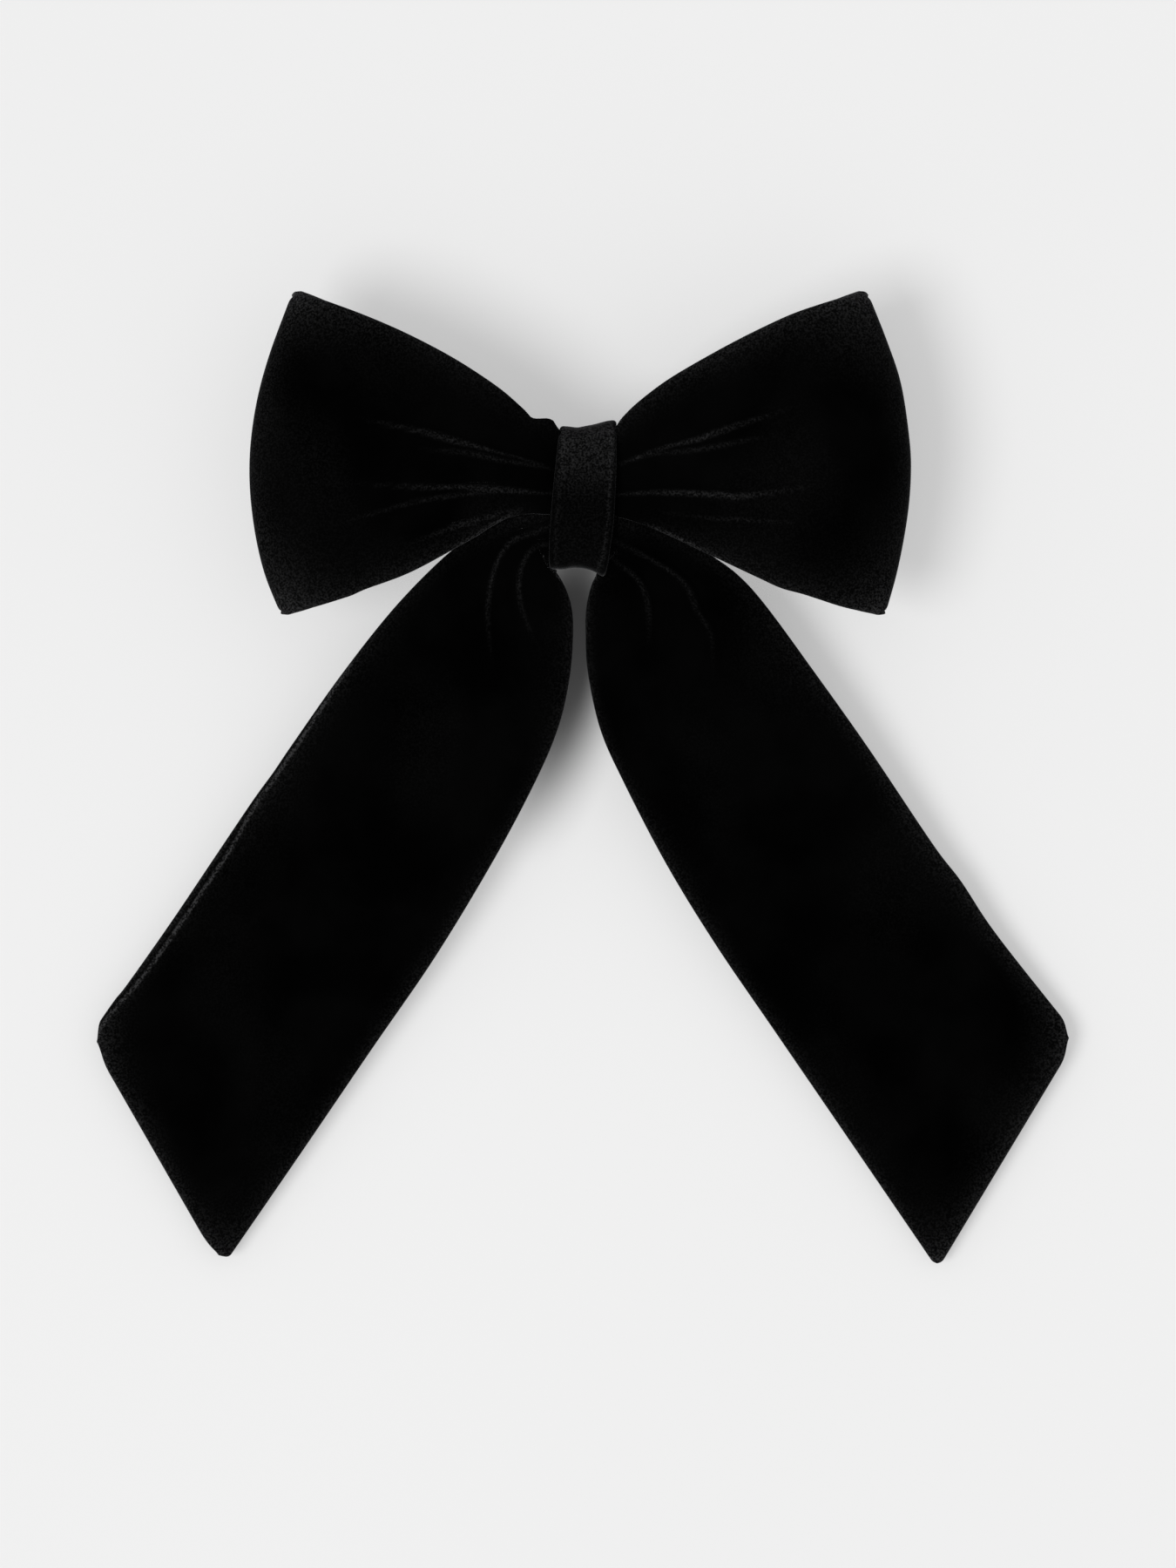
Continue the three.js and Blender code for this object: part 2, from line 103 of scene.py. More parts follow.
# Edges of the loops from the front, as (x, z) points from the knot outwards.
LOOP_EDGES = {
    -1: {
        "top": [(0, 11.0), (-3.6, 12.2), (-5.3, 13.6), (-6.1, 15.0), (-7.4, 15.6), (-10.6, 15.7),
                (-12.6, 17.6), (-18, 22.1), (-27, 27.9), (-37.5, 33.3), (-49.3, 38.4), (-59.9, 42.1)],
        "bottom": [(0, -4.4), (-4, -4.4), (-8, -4.2), (-12, -4.2), (-15.8, -5.0), (-19.5, -6.9), (-24, -9.7),
                   (-35.7, -16.0), (-45.5, -19.8), (-49, -21.35), (-56, -23.5), (-62.4, -25.0)],
        "outer": [(-59.9, 42.1), (-65, 28.3), (-67.8, 17.5), (-69, 6.5), (-68.4, -4.3), (-66.2, -15.2),
                  (-62.4, -25.0)],
    },
    1: {
        "top": [(0, 11.0), (3.6, 12.0), (6.6, 13.9), (8.0, 15.8), (11.6, 19.2), (18.4, 24.1), (28.1, 29.6),
                (37, 34.1), (45.9, 38.1), (58.4, 42.1)],
        "bottom": [(0, -4.4), (4, -4.6), (8, -5.0), (14.9, -7.4), (26.4, -12.7), (36.8, -17.5), (41.4, -19.6),
                   (45.9, -20.9), (54, -23.5), (62.2, -25.0)],
        "outer": [(58.4, 42.1), (62.8, 31), (65.6, 22.4), (67.2, 12), (67.6, 4.7), (66.9, -4.3),
                  (64.9, -15.2), (62.2, -25.0)],
    },
}
# Creases that run out from the knot over the front of the loops: (x, z) points, depth, width.
LOOP_CREASES = [
    ([(-9, 5.9), (-17.6, 8.1), (-23.7, 9.8), (-32.9, 12.4), (-49, 16.2)], 0.9, 1.5),
    ([(-6, 5.0), (-10, 5.7), (-18, 6.9), (-24, 8.2), (-29, 8.7), (-38, 9.8)], 0.5, 1.2),
    ([(-5, 0.0), (-16, 0.5), (-30, 1.1), (-50, 2.2)], 0.9, 1.5),
    ([(-13, 0.4), (-19, 0.4), (-25.7, -0.4), (-35, -1.8), (-42, -3.8), (-54, -6.8)], 0.5, 1.4),
    ([(-13, -3.0), (-17.5, -4.0), (-22.2, -5.6), (-28.8, -7.6), (-38, -11)], 0.5, 1.0),
    ([(5, 5.2), (15.2, 8.6), (23.7, 11.1), (28.1, 12.7), (46, 18.6)], 0.9, 1.5),
    ([(11, 7.2), (15.5, 8.2), (21.7, 8.6), (28.1, 9.7), (42, 12.9)], 0.5, 1.2),
    ([(5, -0.2), (15.5, 0.1), (28.1, -0.5), (34, -0.6), (50, 2.1)], 0.9, 1.5),
    ([(18, -3.9), (26, -4.9), (34, -5.4), (48, -6.2)], 0.3, 1.6),
]

# Tails: two flat tubes that come out of the knot and hang back towards the hair.
TAIL_DOWN, TAIL_ACROSS = 236, 128  # grid points down a tail and across it
TAIL_FAN = 0.88  # under 1, the grid's lines run ahead on the outer edge, so that they fan out from the knot
TAIL_SWING_X, TAIL_SWING_Z = 7.3, -8.8  # where the right tail's joint is
TAIL_SLOPE = (0.5476, -0.8367)  # the way the right tail runs, across and up
# The middle of a tail from its side, as (distance down the tail, y) points.
TAIL_SIDE = [(-12, -16.2), (-3, -16.0), (1, -14.6), (6, -12.4), (11, -10.4), (20, -8.7), (40, -6.9),
             (70, -4.3), (110, -1.2), (170, 1.9)]
# Edges from the front as (x, z) points. The end's corners are arcs of (along the end, up the side) radii.
TAIL_EDGES = {
    -1: {
        "inner": [(-3.6, -12.6), (-7.3, -14.4), (-5.9, -16.4), (-4.0, -18.9), (-2.4, -23.7), (-2.2, -30),
                  (-2.9, -38), (-5.1, -47.7), (-9.6, -58.5), (-18.3, -75), (-30.6, -95.4), (-44, -114.9),
                  (-59.2, -137.2), (-75.2, -160.4)],
        "outer": [(-4.8, -3.4), (-8, -3.2), (-13, -3.6), (-17, -5.2), (-22, -8.1), (-28.6, -12.6),
                  (-39.1, -23.2), (-50, -36.9), (-60.4, -51.6), (-64.2, -57.2), (-68.7, -63.4), (-77.2, -76),
                  (-85.7, -88.6), (-94.6, -101.2), (-97.6, -105.0), (-102.7, -112.4)],
        "tip": (9, 3.7),
        "corner": (8.8, 5.2),
    },
    1: {
        "inner": [(3.0, -12.6), (4.4, -14.4), (3.1, -16.4), (1.6, -18.9), (0.5, -23.7), (0.4, -29),
                  (0.8, -36.5), (3.4, -48.4), (8.1, -59.1), (17.1, -76.4), (27.4, -93.2), (39.7, -111.2),
                  (54.5, -132.8), (73.5, -160.6)],
        "outer": [(4.4, -3.8), (8, -4.0), (14, -6.0), (20, -8.9), (25.9, -12.2), (32, -16.6), (37.8, -23.0),
                  (47.5, -36.2), (58.9, -52.2), (72.5, -72.4), (78.3, -80.0), (85.8, -91.2), (102.5, -112.3)],
        "tip": (2.7, 2.7),
        "corner": (7, 6.5),
    },
}
# Pleats at the top of the tails: (x, z) points, depth, width.
TAIL_PLEATS = {
    -1: [
        ([(-4, -6.0), (-8.3, -6.7), (-14.1, -9.1), (-17.2, -13), (-19, -19), (-19.6, -26), (-18.6, -38)],
         0.9, 1.5),
        ([(-4, -9.4), (-9.6, -10.6), (-12.4, -14.4), (-13.1, -19.6), (-11.9, -25.6), (-8.6, -33)], 0.8, 1.3),
    ],
    1: [
        ([(4, -7.6), (8, -10.1), (14.6, -13.8), (20.6, -18.4), (23.4, -24.4), (26.1, -29), (27.2, -40)],
         0.9, 1.5),
        ([(4, -10.8), (6.4, -13.6), (9.9, -16.3), (12.3, -20), (13.3, -25.4), (13.4, -34)], 0.8, 1.3),
    ],
}

# The left tail's rolled seam: the depth of its groove, and the brightness of the painted highlight on the
# cloth beside it.
SEAM_GROOVE, SEAM_PAINTED_HIGHLIGHT = 0.7, 2.0

# Knot band: a folded strip round the gathers.
KNOT_HALF = 0.75  # half its thickness
KNOT_AROUND, KNOT_ACROSS = 230, 64  # grid points round the band and across it
# The middle of its thickness from the side, as (y, z) points.
KNOT_ROUND = [(-21.8, 0), (-21.6, 6), (-20.7, 10.8), (-18.6, 13.5), (-15.4, 14.3), (-11.8, 13.4),
              (-8.6, 10.2), (-6.7, 5.4), (-6.25, 0), (-6.7, -5.4), (-8.6, -10.2), (-11.8, -13.4),
              (-15.4, -14.3), (-18.6, -13.5), (-20.7, -10.8), (-21.6, -6)]
# Its left and right edges from the front, as (z, x) points.
KNOT_LEFT = [(-14.8, -7.1), (-8, -6.9), (0, -6.3), (7, -5.6), (15, -4.9)]
KNOT_RIGHT = [(-14.8, 4.4), (-7.6, 5.9), (1.4, 6.5), (8, 6.7), (15.1, 6.8)]
KNOT_HEM, KNOT_HEM_DEPTH = 1.1, 0.3  # how far in the hems' stitching lies, and how deep it pulls
# Its top edge: how low it is on the left, how it rises to the right, and a dip between.
KNOT_TOP_DROP, KNOT_SLANT, KNOT_DIP = 1.0, 1.2, 0.3
# Its bottom edge: how low it is in the middle, and how much lower at the sides.
KNOT_FOOT_DROP, KNOT_ARCH = 0.1, 1.3
KNOT_WRINKLE = 0.28

THREAD_RADIUS = 0.2
THREAD_TURNS, STEPS_A_TURN = 7, 48
THREAD_SQUARENESS = 0.32  # a round corner: 1 is an ellipse, 0 a box


# ---- numbers and lines ----

def smoothstep(value, low, high):
    share = np.clip((value - low) / (high - low), 0, 1)
    return share * share * (3 - 2 * share)


def painted_sheen_near(distance, parts):
    """How much painted sheen lightens the velvet at a distance from an edge, for (brightness, reach) pairs.
    """
    return sum(brightness * np.exp(-distance / reach) for brightness, reach in parts)


def band(distance, width):
    """1 along a line and soft on both sides of it."""
    return np.exp(-((distance / width) ** 2))


def smooth_line(points, count, closed=False):
    """Evenly spaced points along a smooth line through the given ones."""
    points = np.array(points, float)
    if closed:
        run = np.vstack([points[-1:], points, points[:2]])
    else:
        run = np.vstack([2 * points[:1] - points[1:2], points, 2 * points[-1:] - points[-2:-1]])
    t = np.linspace(0, 1, 24, endpoint=False)[:, None]
    fine = [
        0.5 * (2 * b + (c - a) * t + (2 * a - 5 * b + 4 * c - d) * t**2 + (3 * b - a - 3 * c + d) * t**3)
        for a, b, c, d in zip(run, run[1:], run[2:], run[3:])
    ]
    fine = np.vstack(fine + [run[-2:-1]])
    steps = np.linalg.norm(np.diff(fine, axis=0), axis=1)
    reach = np.concatenate([[0], np.cumsum(steps)])
    at = np.linspace(0, reach[-1], count, endpoint=not closed)
    return np.stack([np.interp(at, reach, fine[:, k]) for k in range(fine.shape[1])], axis=1)


def value_on(points, at):
    """The second number of a smooth line where its first number is at."""
    line = smooth_line(points, 400)
    order = np.argsort(line[:, 0])
    return np.interp(at, line[order, 0], line[order, 1])


def packed_ends(count, share=0.55):
    """Numbers from 0 to 1 that lie closer together towards both ends."""
    even = np.linspace(0, 1, count)
    return share * (0.5 - 0.5 * np.cos(math.pi * even)) + (1 - share) * even


def rounded(distance, radius=RIM):
    """From 0 at an edge to 1 a radius in, as a half round edge grows."""
    inside = np.clip(distance / radius, 0, 1)
    return np.sqrt(np.clip(1 - (1 - inside) ** 2, 0, 1))


def crease(x, z, points, depth, width):
    """A crease along a line: how far it pushes the cloth back, and the painted highlight along its crest."""
    line = smooth_line(points, 90)
    ways = np.gradient(line, axis=0)
    ways /= np.linalg.norm(ways, axis=1)[:, None]
    spots = np.stack([x.ravel(), z.ravel()], axis=1)
    away = spots[:, None, :] - line[None, :, :]
    nearest = np.argmin((away**2).sum(axis=2), axis=1)
    offset = away[np.arange(len(spots)), nearest]
    way = ways[nearest]
    side = 1 if line[-1, 0] < line[0, 0] else -1
    across = side * (way[:, 0] * offset[:, 1] - way[:, 1] * offset[:, 0])
    beyond = (offset * way).sum(axis=1)
    along = nearest / (len(line) - 1)
    strength = (0.3 + 0.7 * smoothstep(along, 0, 0.42)) * (1 - smoothstep(along, 1 - CREASE_FADE, 1))
    strength = strength * band(beyond, width)
    # A valley beside a ridge, with a faint swell past the ridge.
    valley = band(across + 1.1 * width, 1.2 * width)
    ridge = band(across, 0.6 * width)
    swell = band(across - 1.6 * width, 1.8 * width)
    push = depth * strength * (valley - 0.4 * ridge - 0.25 * swell)
    # A painted highlight: a bright line in the velvet's colour along the crest.
    painted_crest = CREST_PAINTED_SHEEN * depth * strength * band(across - CREST_OFFSET, CREST_WIDTH)
    return push.reshape(x.shape), painted_crest.reshape(x.shape)


def unevenness(a, b, size, seed):
    """Soft unevenness of cloth over two distances in millimetres, the same on every run."""
    draw = np.random.default_rng(seed)
    total = np.zeros(np.broadcast(a, b).shape)
    for _ in range(7):
        wave = size * draw.uniform(0.6, 1.8)
        turn = draw.uniform(0, 2 * math.pi)
        shift = draw.uniform(0, 2 * math.pi)
        total += np.sin((a * math.cos(turn) + b * math.sin(turn)) * 2 * math.pi / wave + shift)
    return total / 7


# ---- meshes ----

def mesh_object(name, points, faces, painted_sheen=None):
    """A piece of the given points and faces. Its painted sheen, where it has one, is kept at each point."""
    mesh = bpy.data.meshes.new(name)
    mesh.from_pydata([tuple(p) for p in np.asarray(points) * MM], [], faces)
    if painted_sheen is not None:
        mesh.attributes.new("painted_sheen", "FLOAT", "POINT").data.foreach_set("value", painted_sheen.astype(np.float32))
    made = bmesh.new()
    made.from_mesh(mesh)
    bmesh.ops.remove_doubles(made, verts=made.verts, dist=WELD)
    bmesh.ops.recalc_face_normals(made, faces=made.faces)
    made.to_mesh(mesh)
    made.free()
    for polygon in mesh.polygons:
        polygon.use_smooth = painted_sheen is not None
    piece = bpy.data.objects.new(name, mesh)
    bpy.context.scene.collection.objects.link(piece)
    return piece


def grid_faces(rows, columns, start, closed, turned):
    """Faces of a grid whose points are numbered from start. A closed one joins its last row to its first."""
    faces = []
    for i in range(rows if closed else rows - 1):
        for j in range(columns - 1):
            here, below = start + i * columns + j, start + ((i + 1) % rows) * columns + j
            face = (here, below, below + 1, here + 1)
            faces.append(face[::-1] if turned else face)
    return faces


def flat_tube(name, middle, half, painted_sheen, material, closed=False, groove=0):
    """A flattened cloth tube: two faces, half a thickness to each side of a grid of points, that meet at its
    edges. A groove is taken off its front face only, and doesn't reach its back."""
    rows, columns = middle.shape[:2]
    if closed:
        down = np.roll(middle, -1, axis=0) - np.roll(middle, 1, axis=0)
    else:
        down = np.gradient(middle, axis=0)
    normal = np.cross(down, np.gradient(middle, axis=1))
    normal /= np.linalg.norm(normal, axis=2)[..., None] + 1e-12
    front = middle + normal * np.maximum(half - groove, -0.9 * half)[..., None]
    back = middle - normal * half[..., None]
    points = np.vstack([front.reshape(-1, 3), back.reshape(-1, 3)])
    faces = grid_faces(rows, columns, 0, closed, False)
    faces += grid_faces(rows, columns, rows * columns, closed, True)
    piece = mesh_object(name, points, faces, np.tile(np.clip(painted_sheen, 0, 1).ravel(), 2))
    piece.data.materials.append(material)
    return piece


def thread_curve(name, line, radius, material):
    """A thread along a line of points."""
    curve = bpy.data.curves.new(name, "CURVE")
    curve.dimensions = "3D"
    curve.bevel_depth = radius * MM
    curve.bevel_resolution = 3
    curve.use_fill_caps = True
    spline = curve.splines.new("POLY")
    spline.points.add(len(line) - 1)
    for point, place in zip(spline.points, line):
        point.co = (*(place * MM), 1)
    piece = bpy.data.objects.new(name, curve)
    bpy.context.scene.collection.objects.link(piece)
    curve.materials.append(material)
    return piece


# ---- velvet pieces ----

def loop_heights(side, name, share):
    """Height of a loop's edge at a share of its reach, where the loop itself reaches out to its fold."""
    outer = [(z, abs(x)) for x, z in LOOP_EDGES[side]["outer"]]
    edge = [(abs(x), z) for x, z in LOOP_EDGES[side][name]]
    height = np.full(share.shape, 20.0 if name == "top" else -10.0)
    for _ in range(12):
        height = value_on(edge, share * value_on(outer, height))
    return height


def make_loops(material):
    front = smooth_line(LOOP_FRONT + [(LOOP_REACH, LOOP_FOLD_Y)] + LOOP_BACK, LOOP_ROUND)
    ring = np.vstack([front[:-1], front[::-1][:-1] * (-1, 1)])
    share = ring[:, 0] / LOOP_REACH
    reach = abs(share)[:, None]
    side = np.where(ring[:, 0] < 0, -1, 1)
    bottom, top = np.zeros(len(ring)), np.zeros(len(ring))
    for sign in (-1, 1):
        mine = side == sign
        top[mine] = loop_heights(sign, "top", abs(share[mine]))
        bottom[mine] = loop_heights(sign, "bottom", abs(share[mine]))
    # The layer behind is a little narrower than the one in front, and leaves room for the tails' gathers.
    behind = smoothstep(ring[:, 1], LOOP_FOLD_Y, LOOP_FOLD_Y + 2.5) * (1 - smoothstep(abs(share), 0.8, 1))
    top -= 1.2 * behind
    bottom += (1.6 + 1.4 * (1 - smoothstep(abs(share), 0.25, 0.45))) * behind
    corner = LOOP_CORNER * (1 - rounded((1 - abs(share)) * LOOP_REACH, LOOP_CORNER))
    top -= corner
    bottom += LOWER_CORNER_SHARE * corner
    v = packed_ends(LOOP_ACROSS)
    height = (top - bottom)[:, None]
    z = bottom[:, None] + height * v
    rim = np.minimum(v, 1 - v) * height
    half = VELVET_HALF * rounded(rim) * (0.7 + 0.3 * smoothstep(reach, 0.06, 0.3))
    x = np.zeros(z.shape)
    for sign in (-1, 1):
        mine = side == sign
        outer = [(h, abs(e)) for e, h in LOOP_EDGES[sign]["outer"]]
        x[mine] = share[mine][:, None] * (value_on(outer, z[mine]) - half[mine])
    # The loops are fullest along their middle and draw in to their edges.
    drawn_in = 0.3 * smoothstep(reach, 0.1, 0.6) * abs(2 * v - 1) ** 4
    y = LOOP_FOLD_Y + (ring[:, 1] - LOOP_FOLD_Y)[:, None] * (1 - drawn_in)
    in_front = smoothstep(-ring[:, 1], -LOOP_FOLD_Y, -LOOP_FOLD_Y + 2)[:, None]
    held = rounded(rim, 5)
    # Painted sheen: the velvet's colour is lighter along the rims, over the fold and most at the corners.
    from_fold, from_top, from_bottom = (1 - reach) * LOOP_REACH, (1 - v) * height, v * height
    painted_sheen = painted_sheen_near(rim, LOOP_RIM_PAINTED_SHEEN) * smoothstep(reach, 0.1, 0.5)
    painted_sheen += painted_sheen_near(from_fold, LOOP_FOLD_PAINTED_SHEEN) + painted_sheen_near(np.hypot(rim, from_fold), LOOP_CORNER_PAINTED_SHEEN)
    # A painted highlight on the right loop's top and on the lower rims by the knot, which face the light
    # more.
    painted_sheen += painted_sheen_near(from_top, LOOP_TOP_PAINTED_SHEEN) * np.where(side > 0, 1, 0.25)[:, None]
    by_knot = smoothstep(reach, 0.18, 0.26) * (1 - smoothstep(reach, 0.36, 0.5))
    painted_sheen += 0.5 * band(from_bottom - 0.4, 0.5) * by_knot
    for points, deep, width in LOOP_CREASES:
        push, painted_crest = crease(x, z, points, deep, width)
        y += push * in_front * held
        painted_sheen += painted_crest * in_front
    # Behind, soft gathers take the place of the creases.
    waves = np.cos(v * 2 * math.pi * BACK_GATHERS + 0.7 * side[:, None])
    y += BACK_GATHER_DEPTH * waves * (1 - smoothstep(reach, 0.12, 0.62)) * (1 - in_front) * held
    y += 0.22 * unevenness(x, z, size=26, seed=3) * smoothstep(reach, 0.15, 0.5)
    painted_sheen += 0.06 * unevenness(x, z, size=30, seed=4)
    middle = np.stack([x, y, z], axis=2)
    return flat_tube("loop_ribbon_velvet", middle, half, painted_sheen, material, closed=True)


def rounded_corner(a, b, radii):
    """How far a grid corner is pulled in to an arc: a and b are distances from the edges that meet there."""
    p, q = 1 - np.clip(a / radii[0], 0, 1), 1 - np.clip(b / radii[1], 0, 1)
    return (p - p * np.sqrt(1 - q * q / 2)) * radii[0], (q - q * np.sqrt(1 - p * p / 2)) * radii[1]


def make_tail(name, side, material):
    edges = TAIL_EDGES[side]
    u, v = packed_ends(TAIL_DOWN, 0.5), packed_ends(TAIL_ACROSS)
    even = np.linspace(0, 1, TAIL_DOWN)
    sides = [smooth_line(edges[word], TAIL_DOWN) for word in ("inner", "outer")]
    lengths = [np.sum(np.linalg.norm(np.diff(line, axis=0), axis=1)) for line in sides]
    runs = u, u**TAIL_FAN
    inner, outer = (
        np.stack([np.interp(run, even, line[:, k]) for k in (0, 1)], axis=1) for run, line in zip(runs, sides)
    )
    flat = inner[:, None, :] * (1 - v)[None, :, None] + outer[:, None, :] * v[None, :, None]
    width = np.linalg.norm(outer - inner, axis=1)[:, None]
    length = (lengths[0] * (1 - v) + lengths[1] * v)[None, :]
    from_start, from_end = u[:, None] * length, (1 - u)[:, None] * length
    from_inner, from_outer = v[None, :] * width, (1 - v)[None, :] * width
    edge = np.minimum(from_inner, from_outer)
    down = flat[-1:, :] - flat[-12:-11, :]
    down /= np.linalg.norm(down, axis=2)[..., None]
    cross = ((outer - inner) / width)[:, None, :]
    for word, beside, sign in (("tip", from_inner, 1), ("corner", from_outer, -1)):
        along_end, up_side = edges[word]
        up, along = rounded_corner(from_end, beside, (up_side, along_end))
        flat = flat - down * up[..., None] + sign * cross * along[..., None]
    x, z = flat[..., 0], flat[..., 1]
    fall = (x * side - TAIL_SWING_X) * TAIL_SLOPE[0] + (z - TAIL_SWING_Z) * TAIL_SLOPE[1]
    y = value_on(TAIL_SIDE, fall)
    # The sides curl back a little.
    y += 0.3 * (1 - np.clip(edge / 14, 0, 1)) ** 3 * smoothstep(fall, 8, 30)
    painted_sheen = painted_sheen_near(edge, TAIL_SIDE_PAINTED_SHEEN)
    painted_sheen += painted_sheen_near(from_inner, TAIL_INNER_PAINTED_SHEEN) + painted_sheen_near(from_outer, TAIL_OUTER_PAINTED_SHEEN)
    painted_sheen += painted_sheen_near(from_end, TAIL_END_PAINTED_SHEEN)
    painted_sheen += painted_sheen_near(np.hypot(from_end, from_outer), TAIL_CORNER_PAINTED_SHEEN)
    painted_sheen += painted_sheen_near(np.hypot(from_end, from_inner), TAIL_TIP_PAINTED_SHEEN)
    # The painted sheen is fainter near the knot.
    painted_sheen *= 0.55 + 0.45 * smoothstep(fall, 20, 80)
    for points, deep, wide in TAIL_PLEATS[side]:
        push, painted_crest = crease(x, z, points, deep, wide)
        y += push * rounded(edge, 4)
        painted_sheen += TAIL_CREST_SHARE * painted_crest
    y += 0.3 * unevenness(x, z, size=44, seed=11 + side) * smoothstep(fall, 12, 45)
    painted_sheen += 0.05 * unevenness(x, z, size=34, seed=14 + side)
    rim = np.minimum(edge, np.minimum(from_end, from_start))
    # The gathers fill the knot, and flatten as they leave it.
    fullness = 0.75 + 0.35 * smoothstep(fall, 6, 24) + 1.5 * (1 - smoothstep(fall, -3, 7))
    half = VELVET_HALF * rounded(rim) * fullness
    groove = np.zeros(half.shape)
    if side < 0:
        # The seam of the left tail has rolled round to its front along the lower part of its outer edge.
        rolled = smoothstep(from_start, 44, 60) * (1 - smoothstep(-from_end, -6, -1))
        seam = 0.3 + 0.6 * smoothstep(from_start, 48, 70) + 0.95 * smoothstep(from_start, 84, 98)
        seam -= 0.9 * smoothstep(-from_end, -24, -4)
        groove = SEAM_GROOVE * band(from_outer - seam + 0.35, 0.35) * rolled
        # Painted shade darkens the groove of the seam, and a painted highlight lightens the cloth beside it.
        painted_sheen *= 1 - 0.7 * band(from_outer - seam + 0.5, 0.4) * rolled
        painted_sheen += SEAM_PAINTED_HIGHLIGHT * band(from_outer - seam - 0.15, 0.28) * rolled
    return flat_tube(name, np.stack([x, y, z], axis=2), half, painted_sheen, material, groove=groove)


def make_knot(material):
    around = smooth_line(KNOT_ROUND, KNOT_AROUND, closed=True)
    v = packed_ends(KNOT_ACROSS, 0.6)
    left, right = value_on(KNOT_LEFT, around[:, 1]), value_on(KNOT_RIGHT, around[:, 1])
    x = left[:, None] * (1 - v) + right[:, None] * v
    y = np.repeat(around[:, :1], len(v), axis=1)
    z = np.repeat(around[:, 1:], len(v), axis=1)
    # The top edge slants up to the right, and the bottom edge is an arch.
    top, foot = smoothstep(z, 9, 14), smoothstep(-z, 9, 14)
    z = z + top * (KNOT_SLANT * smoothstep(x, -1.3, 6.8) - KNOT_TOP_DROP - KNOT_DIP * band(x + 1.3, 1.6))
    z = z - foot * KNOT_ARCH * np.clip((x + 1.6) / 4.7, -0.5, 1.2) ** 2 - KNOT_FOOT_DROP * foot
    front = smoothstep(-y, 14, 20)
    edge = np.minimum(v, 1 - v)[None, :] * (right - left)[:, None]
    # Its front bulges between the hems, and wrinkles towards the top and the bottom.
    y = y + front * (0.9 * (1 - np.clip(edge / 3.2, 0, 1)) ** 2)
    wrinkle = np.sin(x * 1.25 + 0.05 * z + 0.6) * smoothstep(abs(z), 5, 14) * KNOT_WRINKLE
    y = y + front * (wrinkle + 0.14 * unevenness(x, z, size=7, seed=5))
    z = z + (top - foot) * 0.22 * unevenness(x, 0 * x, size=5, seed=8)
    half = KNOT_HALF * rounded(edge, 0.8)
    hem = KNOT_HEM_DEPTH * band(edge - KNOT_HEM, 0.26)
    # Painted highlight: the band's colour is lighter towards its top, and a bright line runs beside each hem,
    # brighter to the right.
    painted_sheen = (0.06 + 0.42 * smoothstep(z, -3, 14)) * (0.3 + 0.7 * smoothstep(edge, 0, 1))
    painted_sheen += (0.05 + 0.15 * v) * band(edge - KNOT_HEM - 0.3, 0.35)
    middle = np.stack([x, y, z], axis=2)
    return flat_tube("knot_band_velvet", middle, half, painted_sheen, material, closed=True, groove=hem)


def make_gather_thread(material):
    low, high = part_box("gather_thread")
    low, high = np.array(low) / MM, np.array(high) / MM
    inset = THREAD_RADIUS + 0.05
    half_y, half_z = (high[1] - low[1]) / 2 - inset, (high[2] - low[2]) / 2 - inset
    centre = (high[1] + low[1]) / 2
    turn = np.linspace(0, 2 * math.pi * THREAD_TURNS, THREAD_TURNS * STEPS_A_TURN + 1)
    y = centre + half_y * np.sign(np.cos(turn)) * np.abs(np.cos(turn)) ** THREAD_SQUARENESS
    z = half_z * np.sign(np.sin(turn)) * np.abs(np.sin(turn)) ** THREAD_SQUARENESS
    x = np.linspace(low[0] + inset, high[0] - inset, len(turn))
    return thread_curve("gather_thread_turns", np.stack([x, y, z], axis=1), THREAD_RADIUS, material)


# ---- materials ----

PILE_DARK, PILE_LIGHT = (0.0003, 0.0003, 0.0003), (0.0009, 0.0009, 0.0009)
PAINTED_SHEEN_COLOUR = (0.023, 0.023, 0.0235, 1)  # the colour that the painted sheen mixes into the velvet


def material_with(name, **values):
    """A material, its Principled shader with these constants on its sockets, and its node tree."""
    material = bpy.data.materials.new(name)
    material.use_nodes = True
    shader = material.node_tree.nodes["Principled BSDF"]
    for socket, value in values.items():
        shader.inputs[socket.replace("_", " ")].default_value = value
    return material, shader, material.node_tree


def noise(tree, scale, detail=2.0, stretch=(1, 1, 1)):
    """Noise fixed to the piece, with its scale in waves a metre."""
    place = tree.nodes.new("ShaderNodeTexCoord")
    mapping = tree.nodes.new("ShaderNodeMapping")
    mapping.inputs["Scale"].default_value = stretch
    texture = tree.nodes.new("ShaderNodeTexNoise")
    texture.inputs["Scale"].default_value = scale
    texture.inputs["Detail"].default_value = detail
    tree.links.new(place.outputs["Object"], mapping.inputs["Vector"])
    tree.links.new(mapping.outputs["Vector"], texture.inputs["Vector"])
    return texture.outputs["Fac"]


def ramp(tree, source, low, high, at=(0.35, 0.65)):
    """A colour from low to high as the source goes from the one place to the other."""
    made = tree.nodes.new("ShaderNodeValToRGB")
    made.color_ramp.elements[0].position, made.color_ramp.elements[1].position = at
    made.color_ramp.elements[0].color = (*low, 1)
    made.color_ramp.elements[1].color = (*high, 1)
    tree.links.new(source, made.inputs["Fac"])
    return made.outputs["Color"]


def bump(tree, shader, height, distance, strength, under=None):
    """A bump of a depth in millimetres on a shader, over the one under it where there is one."""
    made = tree.nodes.new("ShaderNodeBump")
    made.inputs["Distance"].default_value = distance * MM
    made.inputs["Strength"].default_value = strength
    tree.links.new(height, made.inputs["Height"])
    if under is not None:
        tree.links.new(under, made.inputs["Normal"])
    tree.links.new(made.outputs["Normal"], shader.inputs["Normal"])
    return made.outputs["Normal"]


